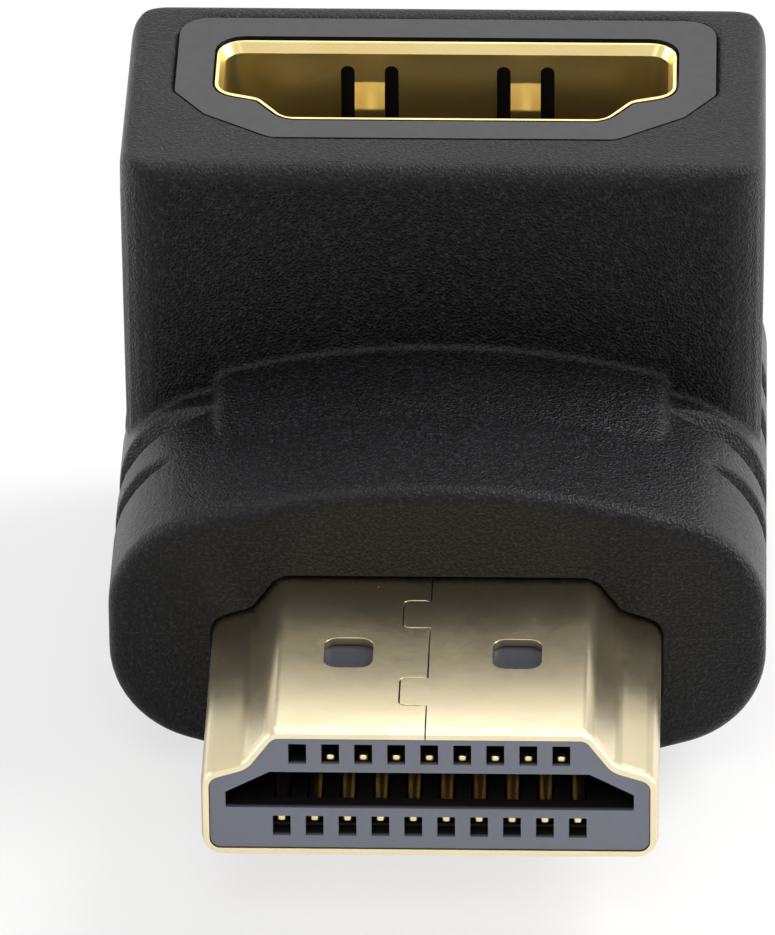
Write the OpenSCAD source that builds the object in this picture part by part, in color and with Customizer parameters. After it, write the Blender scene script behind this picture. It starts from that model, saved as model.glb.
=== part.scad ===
// Right angle adapter: a 19-position audio/video plug that points to -Y and a matching port that
// opens to +Z, joined by a small board inside a moulded L-shaped body.
// Origin: on the plug's axis, in the plane of the body's front face. Units are millimetres.

/* [Plug shell] */
// Width of the plug's metal shell
plug_w = 13.9; // [13.7:0.05:14.0]
// Height of the plug's metal shell
plug_h = 4.45; // [4.35:0.05:4.6]
// Sheet thickness of the plug's shell
plug_t = 0.25; // [0.2:0.01:0.3]
// Length of shell that stands out of the body
plug_out = 8.85; // [8.5:0.05:10]
// Length of shell that is held inside the body
plug_in = 6.2; // [5.5:0.1:6.8]
// Width of the slope between the shell's side and its narrow face
slope_w = 2.08; // [1.9:0.02:2.2]
// Distance from the shell's side to the kink in its slope
kink_w = 1.27; // [1.1:0.01:1.4]
// Drop from the narrow face to the kink
kink_drop = 1.145; // [1:0.005:1.25]
// Drop from the narrow face to the top of the straight side
shoulder_drop = 1.565; // [1.45:0.005:1.7]
// Outside bend radius of the folded sheet
bend_r = 0.6; // [0.45:0.05:0.7]
// Length of the lead-in at the shell's tip
tip_len = 0.35; // [0.2:0.05:0.6]
// How far the lead-in closes in on each side
tip_taper = 0.07; // [0.02:0.01:0.12]

/* [Plug latches and seam] */
// Width of each latch window
latch_w = 1.5; // [1.2:0.05:1.8]
// Length of each latch window
latch_len = 1.7; // [1.4:0.05:2]
// Distance from the plug's centre line to a latch window's centre
latch_x = 2.58; // [2.3:0.02:2.9]
// Distance from the body's face to the latch windows' centre
latch_y = 4.28; // [3.8:0.02:5]
// Corner radius of the latch windows
latch_r = 0.42; // [0.2:0.02:0.6]
// Distance of the seam to the right of the plug's centre line
seam_x = -0.12; // [-0.2:0.01:0.2]
// Width of the butt seam along the narrow face
seam_w = 0.04; // [0.03:0.01:0.1]
// Width of the keys that lock the seam
key_w = 0.86; // [0.7:0.02:1.2]
// Corner radius of the keys
key_r = 0.2; // [0.1:0.02:0.3]
// Length of each seam key
key_len = 1.62; // [1.2:0.02:1.8]
// Distance from the body's face to the nearer key's centre
key_y = 2.02; // [1.7:0.02:2.3]
// Distance between the two keys' centres
key_pitch = 4.45; // [4:0.05:4.8]

/* [Plug insulator] */
// How far the insulator's face sits behind the shell's tip
face_recess = 0.06; // [0.02:0.02:0.6]
// Thickness of the insulator's front wall
front_wall = 0.6; // [0.4:0.05:0.8]
// Distance from the shell's side to the slot's wide side
slot_wide_side = 0.75; // [0.65:0.01:0.95]
// Distance from the shell's side to the slot's narrow side
slot_narrow_side = 2.1; // [2:0.05:2.4]
// Height of the slot's narrow wall above the plug's axis
slot_up = 0.75; // [0.65:0.01:0.8]
// Depth of the slot's wide wall below the plug's axis
slot_down = 0.53; // [0.5:0.01:0.7]
// Height of the slot's straight side
slot_side = 0.55; // [0.4:0.05:0.7]
// Depth of the slot behind the insulator's face
slot_depth = 7.5; // [7:0.1:8]
// Width of the contact windows and channels
window_w = 0.54; // [0.5:0.01:0.6]
// Height of the contact windows
window_h = 0.7; // [0.55:0.01:0.74]
// Length of insulator behind the body's front face
insulator_in = 2.5; // [2.2:0.1:2.8]

/* [Contacts] */
// Distance from the shell's side to the outermost contact of the wide row
row_side = 2.45; // [2.4:0.01:2.5]
// Width of a contact
contact_w = 0.43; // [0.35:0.01:0.46]
// Width of a plug contact's rounded tip
tip_w = 0.3; // [0.2:0.01:0.35]
// Sheet thickness of a plug contact
plug_contact_t = 0.2; // [0.15:0.01:0.22]
// Sheet thickness of a port contact
port_contact_t = 0.15; // [0.12:0.01:0.2]
// Length of the plug contacts' tails on the board
tail_len = 2.0; // [1.5:0.1:2.4]

/* [Board] */
// Thickness of the circuit board
board_t = 1.0; // [0.8:0.1:1.2]
// Gap between the plug insulator's back and the board
board_gap = 0.5; // [0.4:0.1:0.8]
// Distance from the plug shell's side to the board inside it
board_neck_side = 0.95; // [0.85:0.05:1.3]
// Distance from the inner mould's side to the board under the port
board_side = 0.5; // [0.4:0.05:0.7]
// Diameter of the holes for the port's pins
pin_hole_d = 0.7; // [0.6:0.05:0.75]

/* [Port] */
// Distance from the body's front face to the port's axis
port_y = 13.5; // [13:0.05:14]
// Clearance on each side of a mating plug in the port's shell
port_clear = 0.05; // [0.03:0.01:0.08]
// Sheet thickness of the port's shell
port_t = 0.25; // [0.2:0.01:0.3]
// Length of the port's shell
port_len = 11.0; // [10.5:0.1:11.3]
// Width of the flat rim that the shell's lead-in leaves at its mouth
rim_land = 0.1; // [0.08:0.01:0.15]
// Depth of the lead-in
lead_in = 0.32; // [0.2:0.02:0.5]
// Depth from the port's rim to the insulator's floor
port_floor = 9.05; // [8.9:0.05:9.3]
// Depth from the port's rim to the tongue's end
tongue_recess = 2.3; // [1.9:0.1:2.6]
// Play on each side of the tongue in a plug's slot
tongue_play = 0.6; // [0.4:0.05:0.8]
// Thickness of the tongue
tongue_t = 1.0; // [0.9:0.02:1.04]
// Distance of each spring finger's centre from the port's centre line
finger_x = 2.47; // [2.3:0.01:2.7]
// Width of a spring finger
finger_w = 0.95; // [0.8:0.01:1.1]
// Width of the slots beside a spring finger
finger_slot = 0.44; // [0.4:0.01:0.5]
// Depth from the rim to the start of the slots
finger_start = 0.76; // [0.6:0.02:1]
// Length of a spring finger
finger_len = 5.2; // [4.6:0.1:6]
// Distance from a finger's root to the foot of its bump
bump_start = 0.6; // [0.4:0.05:0.9]
// How far a finger's bump stands into the port
finger_bump = 0.3; // [0.2:0.02:0.4]
// Width of the port shell's solder legs
leg_w = 1.2; // [1:0.1:1.4]
// How far pins and legs stand below the board
pin_proud = 0.7; // [0.5:0.1:0.9]

/* [Body] */
// Distance from the plug's shell to the body's side
body_side = 3.25; // [3.15:0.05:4]
// Height of the plug's end of the body
block_h = 10.5; // [10.3:0.1:12]
// Radius of its broad arched faces
block_arch_r = 25; // [22:0.5:30]
// Radius of its corners
block_corner_r = 3.4; // [3:0.1:3.8]
// Height of its middle above the plug's axis
block_rise = 0.2; // [0:0.05:0.4]
// Rounding of its front edge
block_edge_r = 0.45; // [0.3:0.05:0.8]
// Distance from the body's front face to the arm's front face
arm_front = 7.7; // [7.5:0.1:8.2]
// Distance from the body's front face to the arm's back face
arm_back = 18.6; // [18.2:0.1:20]
// How far the arm's top lies inside the body's side
arm_inset = 0.12; // [0.1:0.01:0.3]
// Height of the arm's top face above the plug's axis
arm_top = 12.36; // [12:0.02:13]
// Radius of the arm's upright corners
arm_corner_r = 1.4; // [1:0.1:1.5]
// Rounding of the arm's top edges
arm_edge_r = 0.5; // [0.3:0.05:0.7]
// Radius of the outer elbow, at the back below
elbow_r = 4.5; // [4:0.1:4.8]
// How far the arm's foot and the outer elbow lie inside the block's outline
elbow_inset = 0.22; // [0.15:0.01:0.3]

/* [Saddle and grooves] */
// Half width of the raised saddle in the inner corner
saddle_half = 7.1; // [6.8:0.1:7.4]
// Rise of the saddle above the block at the arm
saddle_rise = 0.58; // [0.3:0.02:0.8]
// Distance from the front face to the saddle's front end
saddle_front = 4.4; // [3.5:0.1:5]
// Rounding of the saddle's upper corners
saddle_r = 0.5; // [0.3:0.05:0.6]
// Distance from the front face to the shallow front groove
groove_1_y = 4.3; // [4:0.1:4.6]
// Distance from the front face to the groove in front of the arm
groove_2_y = 6.7; // [6.4:0.1:6.8]
// Distance from the front face to the first groove beside the arm
groove_3_y = 10.4; // [10:0.1:11]
// Distance from the front face to the second groove beside the arm
groove_4_y = 13.2; // [12.8:0.1:13.6]
// Depth of the shallow groove at the block's side
shallow_depth = 0.5; // [0.3:0.05:0.6]
// Depth of the other grooves at the block's side
groove_depth = 0.6; // [0.4:0.05:0.7]

/* [Inner mould] */
// Width of the inner mould beside the port's shell
bezel_side = 1.25; // [1.1:0.05:1.35]
// Distance from the port's axis to the inner mould's near side
bezel_near = 3.69; // [3.5:0.01:3.8]
// Distance from the port's axis to the inner mould's far side
bezel_far = 4.0; // [3.8:0.01:4.1]
// Gap between the port's shell and the inner mould at the rim's far side
rim_gap = 0.28; // [0.15:0.01:0.3]
// Gap between them at the other sides
side_gap = 0.08; // [0.05:0.01:0.12]
// Depth of the gap round the port's rim
rim_gap_depth = 0.6; // [0.3:0.1:0.7]
// Width of the inner mould beside the plug's shell
core_side = 0.65; // [0.5:0.05:0.9]
// Half height of the inner mould around the plug's shell
core_half_h = 3.2; // [3:0.1:3.4]
// Depth of the inner mould below the board, under the port
core_low = 1.4; // [1.2:0.1:1.6]
// Distance from the front face to the inner mould's front
core_front = 1.6; // [1.4:0.1:2]
// Gap between the body and the plug's shell at the front face
lip_gap = 0.06; // [0.05:0.01:0.2]
// Depth of that gap
lip_depth = 0.3; // [0.2:0.1:0.8]

/* [Hidden] */
// The plug's contacts are numbered as the connector is: odd in the wide row, even in the narrow one.
// Position 2 of the plug carries no contact.
PINS = 19;
EMPTY_PLUG_PIN = 2;

// Small clearance of parts that are pushed into each other
fit = 0.02;
// Overlap of cuts past a surface
past = 1;
// Overlap of solids that join into one piece
lap = 0.01;
// Fewest segments of a rounded corner
bend_steps = 5;
$fn = 48;

face_y = -plug_out + face_recess;
slot_end_y = face_y + slot_depth;
board_front = insulator_in + board_gap;
board_back = port_y + bezel_far - 0.5;
board_neck_end = port_y - 1.9;
board_wide_start = port_y - 0.6;
port_bottom = arm_top - port_len;
floor_z = arm_top - port_floor;
tongue_top = arm_top - tongue_recess;
tongue_y = port_y - (slot_up - slot_down) / 2;
port_w = plug_w + 2 * port_clear;
port_h = plug_h + 2 * port_clear;
pitch = (plug_w - 2 * row_side) / 9;
slot_half = plug_w / 2 - slot_wide_side;
slot_narrow_half = plug_w / 2 - slot_narrow_side;
tongue_w = 2 * (slot_half - tongue_play);
bezel_half = port_w / 2 + port_t + bezel_side;
core_half = plug_w / 2 + core_side;
block_w = plug_w + 2 * body_side;
arm_w = block_w - 2 * arm_inset;
board_neck_half = plug_w / 2 - board_neck_side;
board_half = bezel_half - board_side;
block_back = arm_back - arm_corner_r - 0.2;
far_wall_y = port_y + port_h / 2;
near_wall_y = port_y - port_h / 2;
leg_x = port_w / 2 + port_t / 2;
leg_y = port_y + 0.8;

// Heights above the slot's wall: middle of a contact window, top of a channel, middle of a
// contact's tip and middle of its back end
window_mid = 0.65;
channel_top = 0.9;
tip_mid = 0.45;
back_mid = 0.55;
// Distance from the middle of the tongue to a row of pins, and height of the room they bend in
pin_row_y = 1.25;
trough_h = 1.5;
pin_low = -board_t / 2 - pin_proud;
// Depth from the tongue's end to the port contacts' ends
contact_start = 0.5;
// Room round buried contacts
room = 0.4;

function two(n) = str(n < 10 ? "0" : "", n);
function pin_x(n) = (n - 10) * pitch / 2;
function in_wide_row(n) = n % 2 == 1;
function row_sign(n) = in_wide_row(n) ? -1 : 1;

PLUG_PINS = [for (n = [1:PINS]) if (n != EMPTY_PLUG_PIN) n];
PORT_PINS = [for (n = [1:PINS]) n];

// Plane geometry for bent sheet

function unit(v) = v / norm(v);
function turn(v) = [v[1], -v[0]];

// A closed outline, counter-clockwise, moved outwards by d at every side
function grow(pts, d) = [
    for (i = [0:len(pts) - 1])
        let (
            a = pts[(i + len(pts) - 1) % len(pts)],
            b = pts[i],
            c = pts[(i + 1) % len(pts)],
            n1 = turn(unit(b - a)),
            n2 = turn(unit(c - b))
        )
        b + d * (n1 + n2) / (1 + n1 * n2)
];

// The points of an arc of radius r that rounds the corner a-b-c
function bend(a, b, c, r) =
    let (
        u = unit(a - b),
        v = unit(c - b),
        half = acos(max(-1, min(1, u * v))) / 2,
        reach = r / tan(half),
        centre = b + unit(u + v) * r / sin(half),
        start = b + u * reach - centre,
        end = b + v * reach - centre,
        a0 = atan2(start[1], start[0]),
        swing = atan2(start[0] * end[1] - start[1] * end[0], start * end),
        steps = max(bend_steps, ceil(3 * r))
    )
    [for (k = [0:steps]) centre + r * [cos(a0 + swing * k / steps), sin(a0 + swing * k / steps)]];

// A closed outline with its corners rounded by the radii in r
function rounded(pts, r) = [
    for (i = [0:len(pts) - 1])
        let (n = len(pts), a = pts[(i + n - 1) % n], b = pts[i], c = pts[(i + 1) % n])
        each (r[i] > 0 ? bend(a, b, c, r[i]) : [b])
];

// A strip of thickness t along an open line, with its inner corners rounded to r
function strip(pts, t, r) =
    let (
        n = len(pts),
        line = [
            for (i = [0:n - 1])
                each (i == 0 || i == n - 1 ? [pts[i]] : bend(pts[i - 1], pts[i], pts[i + 1], r + t / 2))
        ],
        last = len(line) - 1,
        normals = [
            for (i = [0:last])
                let (
                    n1 = turn(unit(line[max(i, 1)] - line[max(i, 1) - 1])),
                    n2 = turn(unit(line[min(i + 1, last)] - line[min(i + 1, last) - 1]))
                )
                (n1 + n2) / (1 + n1 * n2)
        ]
    )
    concat(
        [for (i = [0:last]) line[i] + normals[i] * t / 2],
        [for (i = [last:-1:0]) line[i] - normals[i] * t / 2]
    );

// The connector's outline, narrow side up

function d_corners(w, h) = [
    [w / 2, -h / 2],
    [w / 2, h / 2 - shoulder_drop],
    [w / 2 - kink_w, h / 2 - kink_drop],
    [w / 2 - slope_w, h / 2],
    [-w / 2 + slope_w, h / 2],
    [-w / 2 + kink_w, h / 2 - kink_drop],
    [-w / 2, h / 2 - shoulder_drop],
    [-w / 2, -h / 2]
];
function d_radii(out) = [
    for (kink = [false, false, true, false, false, true, false, false])
        kink ? bend_r - out : bend_r + out
];
// The outline of a shell w by h outside, moved outwards by out
function d_outline(w, h, out = 0) = rounded(grow(d_corners(w, h), out), d_radii(out));

module plug_section(out = 0) {
    polygon(d_outline(plug_w, plug_h, out));
}

// The port's section lies in the plan, with its narrow side towards the plug.
// It is measured from the opening: out is the distance outside that.
module port_section(out = 0) {
    translate([0, port_y])
        mirror([0, 1])
            polygon(d_outline(port_w, port_h, out));
}

// Extrudes a front view from y0 to y1
module along_y(y0, y1) {
    translate([0, y1, 0])
        rotate([90, 0, 0])
            linear_extrude(y1 - y0)
                children();
}

// Extrudes a side view, whose axes are Y and Z, across the width w about x
module across_x(x, w) {
    translate([x - w / 2, 0, 0])
        rotate([90, 0, 90])
            linear_extrude(w)
                children();
}

// Extrudes a plan from z0 to z1
module up_z(z0, z1) {
    translate([0, 0, z0])
        linear_extrude(z1 - z0)
            children();
}

module block(lo, hi) {
    translate(lo)
        cube(hi - lo);
}

// A rectangle with the same rounding at all corners
module plate(lo, hi, r) {
    polygon(rounded([[lo[0], lo[1]], [hi[0], lo[1]], [hi[0], hi[1]], [lo[0], hi[1]]], [r, r, r, r]));
}

// Plug shell

// The lead-in closes the outside of the sheet at the tip
module plug_skin() {
    along_y(-plug_out + tip_len, plug_in)
        plug_section();
    translate([0, -plug_out + tip_len, 0])
        rotate([90, 0, 0])
            linear_extrude(
                tip_len,
                slices = 1,
                scale = [1 - 2 * tip_taper / plug_w, 1 - 2 * tip_taper / plug_h]
            )
                plug_section();
}

module latch_windows() {
    for (side = [-1, 1])
        up_z(-plug_h / 2 - past, plug_h / 2 + past)
            translate([side * latch_x, -latch_y])
                plate([-latch_w / 2, -latch_len / 2], [latch_w / 2, latch_len / 2], latch_r);
}

// The seam runs along the shell and turns round two keys, which stay joined at their right
module seam() {
    up_z(plug_h / 2 - 2 * plug_t, plug_h / 2 + past)
        translate([seam_x, 0])
            difference() {
                union() {
                    translate([-seam_w / 2, -plug_out - past])
                        square([seam_w, plug_out + plug_in + 2 * past]);
                    for (y = [-key_y, -key_y - key_pitch])
                        translate([0, y])
                            plate([-key_w, -key_len / 2], [seam_w / 2, key_len / 2], key_r + seam_w);
                }
                for (y = [-key_y, -key_y - key_pitch])
                    translate([0, y])
                        plate(
                            [-key_w + seam_w, -key_len / 2 + seam_w],
                            [key_w, key_len / 2 - seam_w],
                            key_r
                        );
            }
}

module plug_shell() {
    color("#c9b487")
        difference() {
            plug_skin();
            along_y(-plug_out - past, plug_in + past)
                plug_section(-plug_t);
            latch_windows();
            seam();
        }
}

// Plug insulator and contacts

function slot_wall(n) = in_wide_row(n) ? slot_down : slot_up;

// The contact's centre line: a tip in the window, a bowed beam in the slot, a tail on the board
function plug_contact_line(n) =
    let (
        s = row_sign(n),
        wall = slot_wall(n),
        back = wall + back_mid,
        tail = board_t / 2 + plug_contact_t / 2
    )
    [
        [face_y + 0.12, s * (wall + tip_mid)],
        [face_y + 0.9, s * (wall + tip_mid)],
        [face_y + 0.28 * slot_depth, s * (wall - 0.03)],
        [face_y + 0.35 * slot_depth, s * (wall - 0.03)],
        [face_y + 0.67 * slot_depth, s * back],
        [insulator_in + 0.15, s * back],
        [board_front + 0.1, s * tail],
        [board_front + 0.1 + tail_len, s * tail]
    ];

// The contact's plan: a strip that narrows to a rounded tip
module plug_contact_plan(n) {
    tip_y = face_y + 0.12;
    back_y = board_front + 0.1 + tail_len;
    translate([pin_x(n), 0])
        polygon(rounded(
            [[tip_w / 2, tip_y], [contact_w / 2, tip_y + 0.6], [contact_w / 2, back_y],
             [-contact_w / 2, back_y], [-contact_w / 2, tip_y + 0.6], [-tip_w / 2, tip_y]],
            [0.13, 0, 0, 0, 0, 0.13]
        ));
}

module plug_contact(n) {
    color("#b8923f")
        intersection() {
            across_x(pin_x(n), contact_w)
                polygon(strip(plug_contact_line(n), plug_contact_t, 0.15));
            up_z(-plug_h, plug_h)
                plug_contact_plan(n);
        }
}

module tongue_slot() {
    along_y(face_y - past, slot_end_y)
        polygon([
            [-slot_half, -slot_down],
            [slot_half, -slot_down],
            [slot_half, -slot_down + slot_side],
            [slot_narrow_half, slot_up],
            [-slot_narrow_half, slot_up],
            [-slot_half, -slot_down + slot_side]
        ]);
}

// A window through the front wall, a channel open to the slot, and a snug way out at the back
module contact_way(n) {
    s = row_sign(n);
    wall = slot_wall(n);
    x0 = pin_x(n) - window_w / 2;
    x1 = pin_x(n) + window_w / 2;
    window = [s * (wall + window_mid - window_h / 2), s * (wall + window_mid + window_h / 2)];
    channel = [s * (wall - 0.1), s * (wall + channel_top)];
    snug_half = plug_contact_t / 2 + fit;
    snug = [s * (wall + back_mid - snug_half), s * (wall + back_mid + snug_half)];
    block([x0, face_y - past, min(window)], [x1, face_y + front_wall + lap, max(window)]);
    block([x0, face_y + front_wall, min(channel)], [x1, slot_end_y, max(channel)]);
    block(
        [pin_x(n) - contact_w / 2 - fit, slot_end_y - lap, min(snug)],
        [pin_x(n) + contact_w / 2 + fit, insulator_in + past, max(snug)]
    );
}

module plug_insulator() {
    color("#5b636e")
        difference() {
            along_y(face_y, insulator_in)
                plug_section(-plug_t - fit);
            tongue_slot();
            for (n = PORT_PINS)
                contact_way(n);
        }
}

// Circuit board

module board_outline() {
    polygon([
        [-board_neck_half, board_front],
        [board_neck_half, board_front],
        [board_neck_half, board_neck_end],
        [board_half, board_wide_start],
        [board_half, board_back],
        [-board_half, board_back],
        [-board_half, board_wide_start],
        [-board_neck_half, board_neck_end]
    ]);
}

module circuit_board() {
    color("#2f6b45")
        difference() {
            up_z(-board_t / 2, board_t / 2)
                board_outline();
            for (n = PORT_PINS)
                translate([pin_x(n), tongue_y - row_sign(n) * pin_row_y, 0])
                    cylinder(h = board_t + 2 * past, d = pin_hole_d, center = true);
            for (side = [-1, 1])
                translate([side * leg_x, leg_y, 0])
                    cube([port_t + 0.2, leg_w + 0.2, board_t + 2 * past], center = true);
        }
}

// Port shell

// The finger's side view: rooted near the rim, bowed inwards, free at its lower end. The sign s is 1
// on the far wall and -1 on the near one.
function finger_line(wall_y, s) =
    let (mid = wall_y + s * port_t / 2, z0 = arm_top - finger_start)
    [
        [mid, z0],
        [mid, z0 - bump_start],
        [mid - s * finger_bump, z0 - bump_start - 0.85],
        [mid - s * finger_bump, z0 - bump_start - 1.1],
        [mid, z0 - bump_start - 2.4],
        [mid, z0 - finger_len]
    ];

// Cuts one finger free at its sides and its lower end, and leaves the wall above it
module finger_opening() {
    top = arm_top - finger_start;
    gap_w = finger_w + 2 * finger_slot;
    for (side = [-1, 1])
        translate([side * (finger_w + finger_slot) / 2, 0, top - finger_slot / 2])
            rotate([-90, 0, 0])
                cylinder(h = past, d = finger_slot);
    block([-gap_w / 2, 0, top - finger_len - finger_slot], [gap_w / 2, past, top - finger_slot / 2]);
}

module spring_fingers() {
    for (side = [-1, 1]) {
        across_x(side * finger_x, finger_w) {
            polygon(strip(finger_line(far_wall_y, 1), port_t, 0.2));
            polygon(strip(finger_line(near_wall_y, -1), port_t, 0.2));
        }
    }
}

module finger_openings() {
    for (side = [-1, 1])
        for (wall = [far_wall_y + port_t / 2, near_wall_y - port_t / 2])
            translate([side * finger_x, wall - past / 2, 0])
                finger_opening();
}

// Widens the shell's mouth, so that a plug finds its way in
module mouth_cut() {
    opening = port_t - rim_land;
    translate([0, port_y, arm_top - lead_in])
        linear_extrude(
            lead_in + lap,
            slices = 1,
            scale = [1 + 2 * opening / port_w, 1 + 2 * opening / port_h]
        )
            translate([0, -port_y])
                port_section(lap / 10);
}

module port_shell() {
    color("#b98f3c") {
        difference() {
            up_z(port_bottom, arm_top)
                port_section(port_t);
            up_z(port_bottom - past, arm_top + past)
                port_section();
            mouth_cut();
            finger_openings();
        }
        spring_fingers();
        for (side = [-1, 1])
            block(
                [side * leg_x - port_t / 2, leg_y - leg_w / 2, pin_low],
                [side * leg_x + port_t / 2, leg_y + leg_w / 2, port_bottom + lap]
            );
    }
}

// Port insulator and contacts

function port_contact_line(n) =
    let (
        s = -row_sign(n),
        in_tongue = tongue_y + s * (tongue_t / 2 - port_contact_t / 2 + fit),
        pin = tongue_y + s * pin_row_y,
        z_bend = board_t / 2 + trough_h / 2
    )
    [
        [in_tongue, tongue_top - contact_start],
        [in_tongue, z_bend],
        [pin, z_bend],
        [pin, pin_low]
    ];

module port_contact(n) {
    color("#c39a45")
        across_x(pin_x(n), contact_w)
            polygon(strip(port_contact_line(n), port_contact_t, 0.1));
}

// The groove that holds a contact on the tongue and leads it down into the trough
module contact_groove(n) {
    s = -row_sign(n);
    inner = tongue_y + s * (tongue_t / 2 - port_contact_t - fit);
    outer = tongue_y + s * (tongue_t / 2 + 2 * fit);
    open = tongue_y + s * (tongue_t / 2 + past);
    x = [pin_x(n) - contact_w / 2 - fit, pin_x(n) + contact_w / 2 + fit];
    groove_top = tongue_top - contact_start + fit;
    block([x[0], min(inner, open), floor_z], [x[1], max(inner, open), groove_top]);
    block([x[0], min(inner, outer), board_t / 2], [x[1], max(inner, outer), floor_z + lap]);
}

module port_insulator() {
    row_half = pin_x(PINS) + contact_w;
    color("#26282b")
        difference() {
            union() {
                up_z(board_t / 2, floor_z)
                    port_section(-fit);
                block(
                    [-tongue_w / 2, tongue_y - tongue_t / 2, floor_z - lap],
                    [tongue_w / 2, tongue_y + tongue_t / 2, tongue_top]
                );
            }
            for (n = PORT_PINS)
                contact_groove(n);
            for (s = [-1, 1]) {
                near = tongue_t / 2 - port_contact_t - 2 * fit;
                far = pin_row_y + 0.25;
                ys = [tongue_y + s * near, tongue_y + s * far];
                block(
                    [-row_half, min(ys), board_t / 2 - past],
                    [row_half, max(ys), board_t / 2 + trough_h]
                );
            }
        }
}

// Inner mould

function bezel_outline() =
    let (near = port_y - bezel_near, far = port_y + bezel_far, w = bezel_half)
    rounded(
        [[w - 3.1, near], [w - 1, near + 1.45], [w, near + 2.9], [w, far],
         [-w, far], [-w, near + 2.9], [1 - w, near + 1.45], [3.1 - w, near]],
        [0.6, 0.6, 0.5, 1.0, 1.0, 0.5, 0.6, 0.6]
    );

module inner_form() {
    up_z(-board_t / 2 - core_low, arm_top)
        polygon(bezel_outline());
    along_y(core_front, port_y)
        plate([-core_half, -core_half_h], [core_half, core_half_h], 1.2);
}

// The plug's shell, insulator and contacts where they are buried
module plug_cavity() {
    difference() {
        along_y(-past, plug_in)
            plug_section();
        along_y(insulator_in, plug_in + past)
            plug_section(-plug_t);
    }
    // Room for the contacts' tails
    tail_x = pin_x(PINS) + room;
    tail_z = slot_up + back_mid + room;
    block([-tail_x, insulator_in - lap, -tail_z], [tail_x, board_front + tail_len + room, tail_z]);
}

module port_cavity() {
    finger_low = arm_top - finger_start - finger_len;
    up_z(port_bottom, arm_top + past)
        port_section(port_t);
    up_z(board_t / 2 - lap, port_bottom + lap)
        port_section(port_t);
    for (shift = [0, rim_gap - side_gap])
        translate([0, shift, 0])
            up_z(arm_top - rim_gap_depth, arm_top + past)
                port_section(port_t + side_gap);
    // Room behind the spring fingers
    for (side = [-1, 1])
        block(
            [side * finger_x - finger_w, near_wall_y - port_t - room, finger_low - room],
            [side * finger_x + finger_w, far_wall_y + port_t + room, arm_top - finger_start]
        );
    // Room for the pins and legs below the board
    block(
        [-leg_x - room, tongue_y - pin_row_y - room, pin_low - room / 2],
        [leg_x + room, tongue_y + pin_row_y + room, -board_t / 2 + lap]
    );
}

module inner_mould() {
    color("#6c6e70")
        difference() {
            inner_form();
            plug_cavity();
            port_cavity();
            up_z(-board_t / 2, board_t / 2)
                board_outline();
        }
}

// Overmould

// Half of the block's section, from the right-hand side over the arch to the left
function block_half(d) =
    let (
        r = block_corner_r + d,
        arch = block_arch_r + d,
        cx = block_w / 2 - block_corner_r,
        arch_z = block_h / 2 - block_arch_r,
        span = block_arch_r - block_corner_r,
        lean = asin(cx / span),
        cz = arch_z + sqrt(span * span - cx * cx),
        right = [for (k = [0:12]) let (a = (90 - lean) * k / 12) [cx + r * cos(a), cz + r * sin(a)]],
        top = [
            for (k = [1:11])
                let (a = 90 - lean + 2 * lean * k / 12)
                [arch * cos(a), arch_z + arch * sin(a)]
        ],
        left = [for (k = [12:-1:0]) [-right[k][0], right[k][1]]]
    )
    concat(right, top, left);

// The block's whole section about its middle, moved outwards by d
module block_section(d = 0) {
    half = block_half(d);
    polygon(concat(half, [for (k = [len(half) - 1:-1:0]) [half[k][0], -half[k][1]]]));
}

// One outline of the block for its hull, at y, with a smaller core inside the block
module block_rim(y, d, front) {
    translate([0, y, block_rise])
        rotate([front ? -90 : 90, 0, 0])
            linear_extrude(2 * block_edge_r, slices = 1, scale = 0.8)
                block_section(d);
}

module plug_block() {
    r = block_edge_r;
    hull() {
        for (a = [0:22.5:90]) {
            y = r * (1 - cos(a));
            d = -r * (1 - sin(a));
            block_rim(y, d, true);
            block_rim(block_back - y, d, false);
        }
    }
}

// The arm in its three views
module arm_plan() {
    plate([-arm_w / 2, arm_front], [arm_w / 2, arm_back], arm_corner_r);
}

module arm_side_view() {
    low = block_rise - block_h / 2 + elbow_inset;
    polygon(rounded(
        [[arm_front, low], [arm_back, low], [arm_back, arm_top], [arm_front, arm_top]],
        [0, elbow_r, arm_edge_r, arm_edge_r]
    ));
}

module arm_front_view() {
    half = block_half(-elbow_inset);
    top = rounded(
        [[block_w / 2 - elbow_inset, block_rise], [arm_w / 2, arm_top], [-arm_w / 2, arm_top],
         [-block_w / 2 + elbow_inset, block_rise]],
        [0, arm_edge_r, arm_edge_r, 0]
    );
    polygon(concat(top, [for (k = [len(half) - 1:-1:0]) [half[k][0], block_rise - half[k][1]]]));
}

module arm() {
    intersection() {
        up_z(-block_h, arm_top)
            arm_plan();
        across_x(0, block_w)
            arm_side_view();
        along_y(arm_front - past, arm_back + past)
            arm_front_view();
    }
}

// The saddle's front view: the block's arch, raised
function saddle_outline(rise) =
    let (
        arch = block_arch_r + rise,
        base = block_rise + block_h / 2 - block_arch_r,
        side = saddle_half - 2 * saddle_r,
        corner = base + sqrt(arch * arch - saddle_half * saddle_half)
    )
    rounded(
        concat(
            [[-saddle_half, 0], [saddle_half, 0], [saddle_half, corner]],
            [for (k = [6:-1:-6]) let (x = side * k / 6) [x, base + sqrt(arch * arch - x * x)]],
            [[-saddle_half, corner]]
        ),
        concat([0, 0, saddle_r], [for (k = [6:-1:-6]) 0], [saddle_r])
    );

// It leans forwards, so that its front end runs out in the block's arch
module saddle() {
    length = arm_front - saddle_front;
    top = block_rise + block_h / 2 + saddle_rise;
    lean = atan((saddle_rise + 0.03) / length);
    translate([0, arm_front, top])
        rotate([lean, 0, 0])
            translate([0, 0, -top])
                along_y(-length, past)
                    polygon(saddle_outline(saddle_rise));
}

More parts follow.
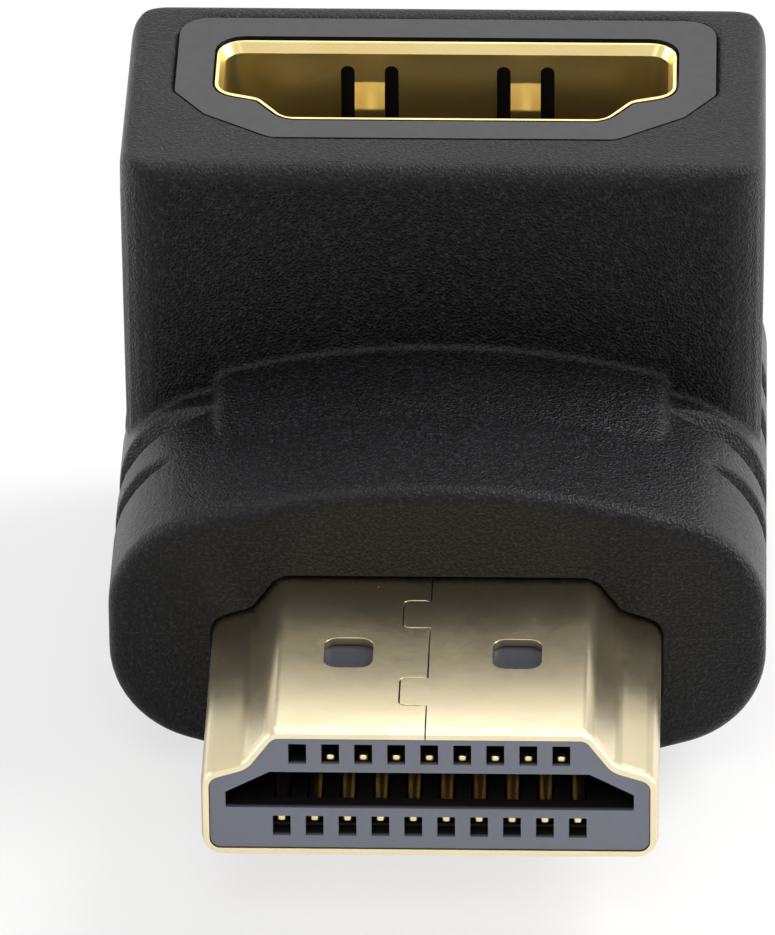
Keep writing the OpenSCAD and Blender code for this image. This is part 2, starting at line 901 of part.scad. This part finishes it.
// A V groove round each side of the block, from the angle low below the side's middle to high above
// it. It is deepest at the side and runs out on the arches, because its floor is a circle of radius
// floor_r, tighter than the section there.
module side_groove(y, depth, floor_r, low, high, flare) {
    mouth = 1.2;
    flat = 0.08;
    for (side = [0, 1])
        mirror([side, 0, 0])
            translate([block_w / 2 - depth - floor_r, y, block_rise])
                rotate([90, 0, 0])
                    rotate([0, 0, -low])
                        rotate_extrude(angle = low + high)
                            polygon([
                                [floor_r, -flat],
                                [floor_r + mouth, -flat - mouth * flare],
                                [floor_r + mouth, flat + mouth * flare],
                                [floor_r, flat]
                            ]);
}

// The two grooves beside the arm end at its foot
module grooves() {
    side_groove(groove_1_y, shallow_depth, 5.6, 60, 60, 0.75);
    side_groove(groove_2_y, groove_depth, 4.65, 74, 74, 0.9);
    for (y = [groove_3_y, groove_4_y])
        side_groove(y, groove_depth, 4.65, 74, 20, 0.9);
}

module body_form() {
    difference() {
        union() {
            plug_block();
            arm();
        }
        intersection() {
            grooves();
            translate([0, 0, block_rise])
                along_y(0, block_back)
                    block_section(0.05);
        }
    }
    saddle();
}

module overmould() {
    color("#1d1e20")
        difference() {
            body_form();
            inner_form();
            along_y(-past, core_front + lap)
                plug_section();
            along_y(-past, lip_depth)
                plug_section(lip_gap);
        }
}

overmould();
inner_mould();
plug_shell();
plug_insulator();
circuit_board();
port_shell();
port_insulator();
for (n = PLUG_PINS)
    plug_contact(n);
for (n = PORT_PINS)
    port_contact(n);
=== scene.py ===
"""Looks of a right angle video adapter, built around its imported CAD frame.

The script loads the frame, makes one visual piece for each CAD solid that shows, gives every surface a
procedural material, and lights the part on a white floor, seen by a camera fitted to the photograph.
All lengths named ``_mm`` are millimetres in the row's frame; Blender itself works in metres.
"""

from __future__ import annotations

import logging
import math
from collections.abc import Mapping
from dataclasses import dataclass, field
from enum import Enum
from typing import Any

import bmesh
import bpy
from mathutils import Matrix, Vector

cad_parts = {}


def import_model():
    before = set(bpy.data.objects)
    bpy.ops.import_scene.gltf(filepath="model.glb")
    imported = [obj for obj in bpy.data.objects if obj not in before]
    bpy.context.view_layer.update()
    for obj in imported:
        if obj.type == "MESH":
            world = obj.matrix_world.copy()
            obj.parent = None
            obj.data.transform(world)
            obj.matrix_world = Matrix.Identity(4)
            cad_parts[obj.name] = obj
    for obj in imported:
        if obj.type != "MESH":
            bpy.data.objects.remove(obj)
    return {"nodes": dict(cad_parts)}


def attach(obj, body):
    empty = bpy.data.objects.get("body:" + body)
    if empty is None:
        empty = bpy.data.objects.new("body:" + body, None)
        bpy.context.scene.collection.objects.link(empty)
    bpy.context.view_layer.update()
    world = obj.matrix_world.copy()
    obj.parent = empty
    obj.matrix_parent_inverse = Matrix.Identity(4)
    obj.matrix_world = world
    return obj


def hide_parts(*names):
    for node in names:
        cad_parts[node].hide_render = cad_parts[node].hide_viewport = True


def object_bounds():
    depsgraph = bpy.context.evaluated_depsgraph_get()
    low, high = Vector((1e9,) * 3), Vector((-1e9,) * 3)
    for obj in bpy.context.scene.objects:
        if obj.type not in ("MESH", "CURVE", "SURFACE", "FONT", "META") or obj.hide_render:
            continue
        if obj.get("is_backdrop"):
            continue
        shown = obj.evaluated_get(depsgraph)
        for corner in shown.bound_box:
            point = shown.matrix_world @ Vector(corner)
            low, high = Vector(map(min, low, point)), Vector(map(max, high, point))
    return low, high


LOG = logging.getLogger("adapter")
MM = 0.001
ROOT = "root"


# --------------------------------------------------------------------------------------------------
# Colour and shader graphs


def linear(hex_colour: str) -> tuple[float, float, float, float]:
    """Turns an sRGB colour into linear light.

    Args:
        hex_colour: the colour as ``#rrggbb``.

    Returns:
        Red, green, blue and an alpha of 1, in linear light.
    """
    channels = [int(hex_colour[i : i + 2], 16) / 255 for i in (1, 3, 5)]
    red, green, blue = (c / 12.92 if c <= 0.04045 else ((c + 0.055) / 1.055) ** 2.4 for c in channels)
    return red, green, blue, 1.0


class Graph:
    """A material's node tree, with short calls that add to it."""

    def __init__(self, name: str) -> None:
        """Starts an empty material of that name."""
        self.material = bpy.data.materials.new(name)
        self.material.use_nodes = True
        self.tree = self.material.node_tree
        self.tree.nodes.clear()

    def add(self, kind: str, inputs: Mapping[str | int, Any] | None = None, **settings: Any) -> bpy.types.Node:
        """Adds a node.

        Args:
            kind: the node's type without its ``ShaderNode`` prefix.
            inputs: a value, or another node's output, for each input by name or number.
            **settings: the node's own properties.

        Returns:
            The new node.
        """
        node = self.tree.nodes.new(f"ShaderNode{kind}")
        for key, value in settings.items():
            setattr(node, key, value)
        for key, value in (inputs or {}).items():
            if isinstance(value, bpy.types.NodeSocket):
                self.tree.links.new(value, node.inputs[key])
            else:
                node.inputs[key].default_value = value
        return node

    def millimetres(self) -> bpy.types.NodeSocket:
        """Returns the point that is shaded, in millimetres in the row's frame."""
        place = self.add("TexCoord")
        return self.add("VectorMath", {0: place.outputs["Object"], 1: (1000.0,) * 3}, operation="MULTIPLY").outputs[0]

    def math(self, operation: str, *values: Any, clamp: bool = False) -> bpy.types.NodeSocket:
        """Returns the result of a Math node on the values, which are numbers or outputs."""
        inputs = dict(enumerate(values))
        return self.add("Math", inputs, operation=operation, use_clamp=clamp).outputs[0]

    def noise(self, size_mm: float, detail: float = 2.0, rough: float = 0.5, at: Any = None) -> bpy.types.NodeSocket:
        """Gives a cloudy pattern.

        Args:
            size_mm: the size of its blotches.
            detail: how many finer layers it has.
            rough: how strong those are.
            at: the point to read it at, or None for the shaded point.

        Returns:
            A value from 0 to 1.
        """
        where = at if at is not None else self.millimetres()
        node = self.add("TexNoise", {"Vector": where, "Scale": 1 / size_mm, "Detail": detail, "Roughness": rough})
        return node.outputs[0]

    def cells(self, size_mm: float) -> bpy.types.NodeSocket:
        """Returns a pattern of rounded cells of that size: 0 in a cell's middle, and rising to its edge."""
        inputs = {"Vector": self.millimetres(), "Scale": 1 / size_mm, "Smoothness": 0.35}
        return self.add("TexVoronoi", inputs, feature="SMOOTH_F1").outputs["Distance"]

    def spread(self, value: Any, low: float, high: float, start: float = 0.3, end: float = 0.7) -> Any:
        """Returns value mapped from start..end to low..high, held at both ends."""
        inputs = {0: value, 1: start, 2: end, 3: low, 4: high}
        return self.add("MapRange", inputs, clamp=True).outputs[0]

    def tint(self, amount: Any, first: str, second: str) -> bpy.types.NodeSocket:
        """Returns the first colour where amount is 0 and the second where it is 1."""
        node = self.add("Mix", {"Factor": amount}, data_type="RGBA")
        node.inputs[6].default_value = linear(first)
        node.inputs[7].default_value = linear(second)
        return node.outputs[2]

    def bump(self, height: Any, depth_mm: float, normal: Any = None, strength: float = 1.0) -> Any:
        """Returns a normal for a height of 0 to 1 that stands for depth_mm, on top of another normal."""
        inputs = {"Height": height, "Distance": depth_mm * MM, "Strength": strength}
        if normal is not None:
            inputs["Normal"] = normal
        return self.add("Bump", inputs).outputs[0]

    def finish(
        self,
        colour: Any,
        roughness: Any,
        normal: Any = None,
        metallic: float = 0.0,
        ior: float = 1.5,
        gloss: float = 0.5,
        sheen: float = 0.0,
    ) -> bpy.types.Material:
        """Closes the tree with a Principled BSDF.

        Args:
            colour: the base colour, a colour or an output.
            roughness: the roughness, a number or an output.
            normal: the shading normal's output, if the surface has relief.
            metallic: 1 for a bare metal, 0 for anything else.
            ior: the refractive index.
            gloss: the specular level, below 0.5 where pits in the surface swallow part of its gloss.
            sheen: how much a fine grain lightens the surface where it is seen at a flat angle.

        Returns:
            The finished material.
        """
        inputs = {
            "Base Color": colour,
            "Roughness": roughness,
            "Metallic": metallic,
            "IOR": ior,
            "Specular IOR Level": gloss,
            "Sheen Weight": sheen,
            "Sheen Roughness": 0.35,
        }
        if normal is not None:
            inputs["Normal"] = normal
        shader = self.add("BsdfPrincipled", inputs)
        self.add("OutputMaterial", {"Surface": shader.outputs[0]})
        return self.material


# --------------------------------------------------------------------------------------------------
# Finishes


@dataclass(frozen=True)
class SparkErodedPvc:
    """Soft black PVC, moulded in a spark-eroded tool."""

    name: str = "black_pvc_spark_eroded"
    body: str = "#050506"
    worn: str = "#323238"
    grain_mm: float = 0.085
    grain_depth_mm: float = 0.03
    parting_z_mm: float = 0.18
    parting_w_mm: float = 0.05
    sheen: float = 0.05

    def build(self) -> bpy.types.Material:
        """Returns the material: a two-size grain with paler specks, and the tool's parting line."""
        g = Graph(self.name)
        grain = g.math("ADD", g.cells(self.grain_mm), g.noise(self.grain_mm, 4, 0.65))
        normal = g.bump(grain, self.grain_depth_mm)
        height = g.add("SeparateXYZ", {0: g.millimetres()}).outputs[2]
        off = g.math("ABSOLUTE", g.math("SUBTRACT", height, self.parting_z_mm))
        line = g.spread(off, 1.0, 0.0, 0.0, self.parting_w_mm)
        normal = g.bump(line, 0.02, normal)
        speck = g.spread(g.noise(1.5 * self.grain_mm, 4, 0.7), 0, 1, 0.5, 0.68)
        roughness = g.math("SUBTRACT", g.spread(g.noise(3.0, 4), 0.3, 0.37), g.math("MULTIPLY", speck, 0.08))
        colour = g.tint(speck, self.body, self.worn)
        return g.finish(colour, roughness, normal, ior=1.53, gloss=0.2, sheen=self.sheen)


@dataclass(frozen=True)
class MouldedPlastic:
    """A smooth moulded plastic with faint flow marks and a fine matte skin."""

    name: str
    body: str
    flow: str
    roughness: float
    skin_mm: float = 0.08
    skin_depth_mm: float = 0.004
    ior: float = 1.52
    gloss: float = 0.5

    def build(self) -> bpy.types.Material:
        """Returns the material."""
        g = Graph(self.name)
        flow = g.noise(2.2, 3)
        normal = g.bump(g.noise(self.skin_mm, 3, 0.6), self.skin_depth_mm)
        normal = g.bump(g.noise(1.6, 1), 0.003, normal)
        roughness = g.spread(g.noise(0.3, 4), self.roughness - 0.03, self.roughness + 0.04)
        return g.finish(g.tint(g.spread(flow, 0, 1), self.body, self.flow), roughness, normal, ior=self.ior, gloss=self.gloss)


@dataclass(frozen=True)
class ChannelledNylon:
    """Slate nylon with painted shade: near black in the narrow channels behind the front wall, and darker on the
    recessed seats under the latch windows.

    Attributes:
        name: the material's name.
        body: the front wall's colour.
        channel_painted_shade: painted shade, the near-black colour in the channels.
        seat_painted_shade: painted shade, the darker colour of the recessed faces under the latch windows.
        front_mm: where the front wall's face is, along Y.
    """

    name: str = "slate_nylon_moulded"
    body: str = "#80848f"
    # painted shade: the channel and seat colours stand in for the shade in the recesses
    channel_painted_shade: str = "#0c0d0e"
    seat_painted_shade: str = "#30333b"
    front_mm: float = -8.8

    def build(self) -> bpy.types.Material:
        """Returns the material."""
        g = Graph(self.name)
        depth = g.math("SUBTRACT", g.add("SeparateXYZ", {0: g.millimetres()}).outputs[1], self.front_mm)
        face = g.tint(g.spread(g.noise(1.5, 4), 0, 1), self.body, self.body)
        # painted shade: the channels darken to near black just behind the front wall
        inner = g.add("Mix", {"Factor": g.spread(depth, 0, 1, 0.03, 0.2), 6: face, 7: linear(self.channel_painted_shade)}, data_type="RGBA")
        # painted shade: from 2.6 mm behind the front, the recessed seats under the latch windows take a darker colour
        shaded_seats = g.add("Mix", {"Factor": g.spread(depth, 0, 1, 2.6, 3.0), 6: inner.outputs[2], 7: linear(self.seat_painted_shade)}, data_type="RGBA")
        normal = g.bump(g.noise(0.08, 3, 0.6), 0.005)
        roughness = g.spread(g.noise(0.3, 4), 0.5, 0.6)
        return g.finish(shaded_seats.outputs[2], roughness, normal, ior=1.53, gloss=0.35)


@dataclass(frozen=True)
class GoldFlash:
    """Gold flash over nickel on folded steel sheet: satin, with rolling marks and rubbed patches."""

    name: str
    body: str
    rubbed: str
    roughness: float
    rolled_mm: float = 0.05
    marks_depth_mm: float = 0.0004

    def build(self) -> bpy.types.Material:
        """Returns the material. The sheet was rolled along Y, so its fine marks are long that way."""
        g = Graph(self.name)
        stretched = g.add("VectorMath", {0: g.millimetres(), 1: (1.0, 0.12, 0.35)}, operation="MULTIPLY").outputs[0]
        marks = g.noise(self.rolled_mm, 2, 0.6, at=stretched)
        normal = g.bump(marks, self.marks_depth_mm)
        normal = g.bump(g.noise(2.5, 1), 0.004, normal)
        handled = g.spread(g.noise(1.7, 5, 0.6), 0, 1, 0.4, 0.68)
        fine = g.math("MULTIPLY", g.spread(g.noise(0.12, 3), -1, 1), 0.015)
        low, high = self.roughness - 0.01, self.roughness + 0.02
        roughness = g.math("ADD", g.spread(handled, low, high, 0, 1), fine, clamp=True)
        return g.finish(g.tint(handled, self.body, self.rubbed), roughness, normal, metallic=1.0)


@dataclass(frozen=True)
class SolderResist:
    """Green solder resist over a glass laminate, with the weave just showing."""

    name: str = "green_solder_resist"
    body: str = "#1f5a38"
    weave: str = "#2c6f49"

    def build(self) -> bpy.types.Material:
        """Returns the material."""
        g = Graph(self.name)
        waves = [
            g.add("TexWave", {"Vector": g.millimetres(), "Scale": 0.9, "Distortion": 0.4}, bands_direction=axis)
            for axis in ("X", "Y")
        ]
        weave = g.math("MULTIPLY", waves[0].outputs["Fac"], waves[1].outputs["Fac"])
        return g.finish(g.tint(weave, self.body, self.weave), 0.32, g.bump(weave, 0.01), ior=1.55)


class Finish(Enum):
    """Every finish on the part; the value is what builds it."""

    BLACK_PVC = SparkErodedPvc()
    GREY_ABS = MouldedPlastic("grey_abs_smooth", "#19191b", "#1c1c1e", 0.33, ior=1.53, gloss=0.42)
    SHELL_GOLD = GoldFlash("gold_flash_satin", "#f0e2bd", "#ecddb6", 0.24)
    PORT_GOLD = GoldFlash("gold_flash_deep", "#f4e0a0", "#edd592", 0.3)
    CONTACT_GOLD = GoldFlash("gold_on_bronze", "#efdcaa", "#e6cf96", 0.24, marks_depth_mm=0.0001)
    SLATE_NYLON = ChannelledNylon()
    BLACK_NYLON = MouldedPlastic("black_nylon_moulded", "#1d1e21", "#26272a", 0.45)
    RESIST = SolderResist()

    @property
    def material(self) -> bpy.types.Material:
        """The finish's material, built at its first use."""
        return bpy.data.materials.get(self.value.name) or self.value.build()


# --------------------------------------------------------------------------------------------------
# Meshes


@dataclass(frozen=True)
class EdgeBreak:
    """How the sharp edges of a solid are broken.

    Attributes:
        radius_mm: the width of the rounding.
        segments: how many facets it has.
        sharp_deg: edges that turn by more than this are rounded.
    """

    radius_mm: float
    segments: int = 2
    sharp_deg: float = 32.0


def new_piece(name: str, mesh: bpy.types.Mesh, finish: Finish, node: str) -> bpy.types.Object:
    """Puts a mesh in the scene in place of a CAD node.

    Args:
        name: the piece's name.
        mesh: its mesh, in metres in the row's frame.
        finish: its material.
        node: the CAD node it stands for.

    Returns:
        The new object.
    """
    piece = bpy.data.objects.new(name, mesh)
    bpy.context.scene.collection.objects.link(piece)
    mesh.materials.clear()
    mesh.materials.append(finish.material)
    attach(piece, ROOT)
    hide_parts(node)
    return piece


def welded(source: bpy.types.Object) -> bmesh.types.BMesh:
    """Returns a copy of an object's mesh with its seams welded and its degenerate edges dissolved."""
    work = bmesh.new()
    work.from_mesh(source.data)
    bmesh.ops.remove_doubles(work, verts=work.verts, dist=0.0005 * MM)
    bmesh.ops.dissolve_degenerate(work, edges=work.edges, dist=0.0005 * MM)
    return work


def broken_edges(name: str, source: bpy.types.Object, style: EdgeBreak) -> bpy.types.Mesh:
    """Rounds the sharp edges of a CAD solid.

    Args:
        name: the new mesh's name.
        source: the CAD node.
        style: how its edges are broken.

    Returns:
        A new mesh, with smooth shading between its sharp edges.
    """
    work = welded(source)
    bmesh.ops.dissolve_limit(work, angle_limit=math.radians(0.6), verts=work.verts, edges=work.edges)
    mesh = bpy.data.meshes.new(name)
    work.to_mesh(mesh)
    work.free()
    mesh.shade_smooth()
    holder = bpy.data.objects.new(f"{name}.work", mesh)
    bpy.context.scene.collection.objects.link(holder)
    bevel = holder.modifiers.new("edges", "BEVEL")
    bevel.width = style.radius_mm * MM
    bevel.segments = style.segments
    bevel.limit_method = "ANGLE"
    bevel.angle_limit = math.radians(style.sharp_deg)
    bevel.use_clamp_overlap = True
    even = holder.modifiers.new("even", "WEIGHTED_NORMAL")
    even.mode = "FACE_AREA"
    even.weight = 100
    return taken(holder, name)


def taken(holder: bpy.types.Object, name: str) -> bpy.types.Mesh:
    """Applies a working object's modifiers, removes it, and returns the mesh that they make."""
    graph = bpy.context.evaluated_depsgraph_get()
    mesh = bpy.data.meshes.new_from_object(holder.evaluated_get(graph), depsgraph=graph)
    mesh.name = name
    bpy.data.objects.remove(holder)
    return mesh


@dataclass(frozen=True)
class Room:
    """A box, in millimetres."""

    low: tuple[float, float, float]
    high: tuple[float, float, float]

    def holds(self, point: Vector) -> bool:
        """Returns whether a point, in metres, lies in the box."""
        return all(a * MM < p < b * MM for a, p, b in zip(self.low, point, self.high))


@dataclass(frozen=True)
class SoftSkin:
    """A moulded skin: the solid's surface on a fine even grid, with every edge softened.

    Attributes:
        grid_mm: the grid's pitch.
        passes: how often the surface is relaxed.
        kept: the share of its faces that is kept, most of them where it bends.
        rounder: rooms in which the edges are rounder.
        rounder_passes: how often the surface is relaxed there.
    """

    grid_mm: float
    passes: int
    kept: float
    rounder: tuple[Room, ...] = ()
    rounder_passes: int = 0

    def build(self, name: str, source: bpy.types.Object) -> bpy.types.Mesh:
        """Makes the skin of a CAD solid.

        Args:
            name: the new mesh's name.
            source: the CAD node.

        Returns:
            The skin's mesh, in metres.
        """
        work = welded(source)
        bmesh.ops.scale(work, vec=(1 / MM,) * 3, verts=work.verts)
        mesh = bpy.data.meshes.new(name)
        work.to_mesh(mesh)
        work.free()
        holder = bpy.data.objects.new(f"{name}.work", mesh)
        bpy.context.scene.collection.objects.link(holder)
        remesh = holder.modifiers.new("skin", "REMESH")
        remesh.mode = "VOXEL"
        remesh.voxel_size = self.grid_mm
        remesh.use_smooth_shade = True
        relax = holder.modifiers.new("relax", "SMOOTH")
        relax.factor = 0.5
        relax.iterations = self.passes
        mesh = taken(holder, name)
        holder = bpy.data.objects.new(f"{name}.work", mesh)
        bpy.context.scene.collection.objects.link(holder)
        group = holder.vertex_groups.new(name="rounder")
        group.add([v.index for v in mesh.vertices if any(r.holds(v.co * MM) for r in self.rounder)], 1.0, "REPLACE")
        rounder = holder.modifiers.new("rounder", "SMOOTH")
        rounder.vertex_group = group.name
        rounder.factor = 0.5
        rounder.iterations = self.rounder_passes
        thin = holder.modifiers.new("thin", "DECIMATE")
        thin.ratio = self.kept
        skin = taken(holder, name)
        skin.transform(Matrix.Scale(MM, 4))
        return skin


# --------------------------------------------------------------------------------------------------
# Sub-assemblies


@dataclass
class Overmould:
    """The black L-shaped body: ribbed block, saddle and arm.

    Attributes:
        nodes: the frame's CAD nodes by name.
        skin: how fine its surface is.
        hidden: rooms inside it that nothing shows, where it has no surface.
        pieces: the pieces made.
    """

    nodes: dict[str, bpy.types.Object]
    skin: SoftSkin = SoftSkin(
        0.09,
        2,
        0.2,
        rounder=(
            Room((-11, 7, 11.0), (-8.5, 19, 13)),
            Room((8.5, 7, 11.0), (11, 19, 13)),
            Room((-11, 7, 11.0), (11, 8.8, 13)),
            Room((-11, 17.5, 11.0), (11, 19, 13)),
        ),
        rounder_passes=40,
    )
    hidden: tuple[Room, ...] = (
        Room((-8.9, 9.3, -2.4), (8.9, 17.9, 11.4)),
        Room((-8.1, 1.0, -3.7), (8.1, 13.9, 3.7)),
    )
    pieces: list[bpy.types.Object] = field(default_factory=list)

    def build(self) -> None:
        """Makes the body's skin, without the walls that the inner mould covers."""
        mesh = self.skin.build("body_skin", self.nodes["overmould"])
        work = bmesh.new()
        work.from_mesh(mesh)
        inside = [f for f in work.faces if any(r.holds(f.calc_center_median()) for r in self.hidden)]
        bmesh.ops.delete(work, geom=inside, context="FACES")
        work.to_mesh(mesh)
        work.free()
        self.pieces.append(new_piece("body_skin", mesh, Finish.BLACK_PVC, "overmould"))


@dataclass
class Solids:
    """CAD solids that show as they are, with their edges broken.

    Attributes:
        nodes: the frame's CAD nodes by name.
        finish: their material.
        slot: not used.
        edges: how their edges are broken.
        names: the piece's name for each CAD node.
        pieces: the pieces made.
    """

    nodes: dict[str, bpy.types.Object]
    finish: Finish
    slot: str
    edges: EdgeBreak
    names: dict[str, str]
    pieces: list[bpy.types.Object] = field(default_factory=list)

    def build(self) -> None:
        """Makes one piece for each CAD node."""
        for node, name in self.names.items():
            mesh = broken_edges(name, self.nodes[node], self.edges)
            self.pieces.append(new_piece(name, mesh, self.finish, node))


@dataclass
class Carried:
    """CAD nodes that stay as they are, with a finish.

    Attributes:
        nodes: the frame's CAD nodes by name.
        finish: their material.
        names: which nodes.
        pieces: the nodes finished.
    """

    nodes: dict[str, bpy.types.Object]
    finish: Finish
    names: list[str]
    pieces: list[bpy.types.Object] = field(default_factory=list)

    def build(self) -> None:
        """Gives each node the finish."""
        for name in self.names:
            node = self.nodes[name]
            node.data.materials.clear()
            node.data.materials.append(self.finish.material)
            self.pieces.append(node)


# --------------------------------------------------------------------------------------------------
# Studio


@dataclass(frozen=True)
class SoftBox:
    """A square area lamp.

    Attributes:
        name: the lamp's name.
        place_mm: where it stands.
        size_mm: its width.
        watts: its power.
        colour: its colour.
    """

    name: str
    place_mm: tuple[float, float, float]
    size_mm: float
    watts: float
    colour: str = "#ffffff"

    def build(self) -> bpy.types.Object:
        """Makes the lamp, aimed at the part."""
        data = bpy.data.lights.new(self.name, "AREA")
        data.shape = "SQUARE"
        data.size = self.size_mm * MM
        data.energy = self.watts
        data.color = linear(self.colour)[:3]
        lamp = bpy.data.objects.new(self.name, data)
        lamp.location = Vector(self.place_mm) * MM
        aim = Vector((0, 4 * MM, 3 * MM)) - lamp.location
        lamp.rotation_euler = aim.to_track_quat("-Z", "Y").to_euler()
        bpy.context.scene.collection.objects.link(lamp)
        return lamp


@dataclass(frozen=True)
class Studio:
    """A white floor, lamps, and a white sky.

    Attributes:
        floor_z: the floor's height, in metres.
        lamps: the lamps.
        sky: the light of the sky on the part.
        mirrored: the sky's strength in reflections.
        lift: how far the camera sees the paper as white in itself.
    """

    floor_z: float
    lamps: tuple[SoftBox, ...]
    sky: float = 0.14
    mirrored: float = 0.78
    lift: float = 0.68

    def build(self) -> None:
        """Makes the floor, the lamps and the sky."""
        self._floor()
        for lamp in self.lamps:
            lamp.build()
        self._sky()

    def _floor(self) -> None:
        """Makes a large subdivided sheet just below the part."""
        work = bmesh.new()
        bmesh.ops.create_grid(work, x_segments=8, y_segments=8, size=2.0)
        mesh = bpy.data.meshes.new("floor")
        work.to_mesh(mesh)
        work.free()
        mesh.materials.append(self._paper())
        floor = bpy.data.objects.new("floor", mesh)
        floor.location.z = self.floor_z
        bpy.context.scene.collection.objects.link(floor)
        floor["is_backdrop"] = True

    def _paper(self) -> bpy.types.Material:
        """Returns white paper, which the camera sees lifted towards white so that its shadows are pale."""
        g = Graph("white_paper")
        paper = g.finish(linear("#fafafa"), 0.9, g.bump(g.noise(0.6, 3), 0.002))
        shader, out = (next(n for n in g.tree.nodes if n.type == t) for t in ("BSDF_PRINCIPLED", "OUTPUT_MATERIAL"))
        white = g.add("Emission", {"Color": (1, 1, 1, 1), "Strength": 1.0})
        seen = g.math("MULTIPLY", g.add("LightPath").outputs["Is Camera Ray"], self.lift)
        both = g.add("MixShader", {0: seen, 1: shader.outputs[0], 2: white.outputs[0]})
        g.tree.links.new(both.outputs[0], out.inputs["Surface"])
        return paper

    def _sky(self) -> None:
        """Makes a sky that is white where it shows, and softer where it lights the part."""
        world = bpy.data.worlds.new("sky")
        world.use_nodes = True
        bpy.context.scene.world = world
        tree = world.node_tree
        tree.nodes.clear()
        path = tree.nodes.new("ShaderNodeLightPath").outputs
        shade = tree.nodes.new("ShaderNodeBackground")
        shade.inputs["Color"].default_value = (1, 1, 1, 1)
        strength = self.sky
        for ray, level in (("Is Glossy Ray", self.mirrored), ("Is Camera Ray", 1.0)):
            mix = tree.nodes.new("ShaderNodeMix")
            mix.inputs["B"].default_value = level
            tree.links.new(path[ray], mix.inputs["Factor"])
            if isinstance(strength, float):
                mix.inputs["A"].default_value = strength
            else:
                tree.links.new(strength, mix.inputs["A"])
            strength = mix.outputs["Result"]
        tree.links.new(strength, shade.inputs["Strength"])
        out = tree.nodes.new("ShaderNodeOutputWorld")
        tree.links.new(shade.outputs[0], out.inputs["Surface"])


@dataclass(frozen=True)
class FittedCamera:
    """The camera that was fitted to the photograph by the plug's known sizes.

    Attributes:
        target_mm: the point in the middle of the picture.
        distance_mm: the distance to it.
        elevation_deg: how far the camera looks down.
        yaw_deg: how far it looks to the side.
        roll_deg: how far it is tilted.
        focal_px: the focal length in the photograph's pixels.
        height_px: the photograph's height.
    """

    target_mm: tuple[float, float, float] = (-1.590, 3.164, 4.362)
    distance_mm: float = 354.62
    elevation_deg: float = 31.013
    yaw_deg: float = -1.958
    roll_deg: float = -0.532
    focal_px: float = 11426.6
    height_px: float = 935.0
    sensor_mm: float = 24.0

    def build(self) -> bpy.types.Object:
        """Makes the camera and looks through it."""
        elevation, yaw, roll = (math.radians(a) for a in (self.elevation_deg, self.yaw_deg, self.roll_deg))
        flat = math.cos(elevation)
        forward = Vector((math.sin(yaw) * flat, math.cos(yaw) * flat, -math.sin(elevation)))
        right = forward.cross(Vector((0, 0, 1))).normalized()
        up = right.cross(forward)
        right, up = right * math.cos(roll) + up * math.sin(roll), up * math.cos(roll) - right * math.sin(roll)
        place = (Vector(self.target_mm) - forward * self.distance_mm) * MM
        data = bpy.data.cameras.new("fitted")
        data.sensor_fit = "VERTICAL"
        data.sensor_height = self.sensor_mm
        data.lens = self.focal_px * self.sensor_mm / self.height_px
        data.clip_start = 0.01
        data.clip_end = 10.0
        camera = bpy.data.objects.new("fitted", data)
        turn = Matrix((right, up, -forward)).transposed().to_4x4()
        camera.matrix_world = Matrix.Translation(place) @ turn
        bpy.context.scene.collection.objects.link(camera)
        bpy.context.scene.camera = camera
        return camera


# --------------------------------------------------------------------------------------------------


def assemblies(nodes: dict[str, bpy.types.Object]) -> dict[str, Any]:
    """Lists the part's sub-assemblies in building order.

    Args:
        nodes: the frame's CAD nodes by name.

    Returns:
        Each sub-assembly by its name in the log.
    """
    sheet = EdgeBreak(0.07, 3)
    plastic = EdgeBreak(0.05, 2)
    plug_contacts = {n: f"{n}.gold" for n in sorted(nodes) if n.startswith("plug_contact")}
    port_contacts = [n for n in sorted(nodes) if n.startswith("port_contact")]
    return {
        "overmould": Overmould(nodes),
        "bezel": Solids(nodes, Finish.GREY_ABS, "grey_abs", EdgeBreak(0.08, 2), {"inner_mould": "bezel"}),
        "plug shell": Solids(nodes, Finish.SHELL_GOLD, "gold_flash_shell", sheet, {"plug_shell": "plug_sheet"}),
        "plug insulator": Solids(nodes, Finish.SLATE_NYLON, "slate_nylon", plastic, {"plug_insulator": "plug_core"}),
        "plug contacts": Solids(nodes, Finish.CONTACT_GOLD, "gold_contact", EdgeBreak(0.04, 2), plug_contacts),
        "port shell": Solids(nodes, Finish.PORT_GOLD, "gold_flash_port", EdgeBreak(0.09, 3), {"port_shell": "port_sheet"}),
        "port insulator": Solids(nodes, Finish.BLACK_NYLON, "black_nylon", plastic, {"port_insulator": "port_core"}),
        "port contacts": Carried(nodes, Finish.CONTACT_GOLD, port_contacts),
        "board": Carried(nodes, Finish.RESIST, ["circuit_board"]),
    }


def size_lists() -> list[list[float]]:
    """Returns the lowest and highest corner of everything shown, as plain lists."""
    return [list(corner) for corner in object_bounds()]


def main() -> None:
    """Builds the scene."""
    logging.basicConfig(level=logging.INFO, format="%(name)s: %(message)s")
    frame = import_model()
    sizes = {"cad": size_lists()}
    for name, assembly in assemblies(frame["nodes"]).items():
        assembly.build()
        faces = sum(len(piece.data.polygons) for piece in assembly.pieces)
        LOG.info("%s: %d pieces, %d faces", name, len(assembly.pieces), faces)
    lamps = (
        SoftBox("high_back", (20, 300, 400), 400, 0.5),
        SoftBox("key", (330, 120, 380), 260, 1.75),
        SoftBox("low_back", (0, 450, 250), 180, 0.06),
        SoftBox("high_front", (-40, -300, 420), 300, 0.7),
        SoftBox("left_card", (-440, 100, 120), 300, 0.9),
        SoftBox("right_card", (440, 100, 120), 300, 1.1),
    )
    Studio(sizes["cad"][0][2], lamps).build()
    FittedCamera().build()
    bpy.context.scene.view_settings.view_transform = "Standard"
    sizes["visual"] = size_lists()


if __name__ == "__main__":
    main()
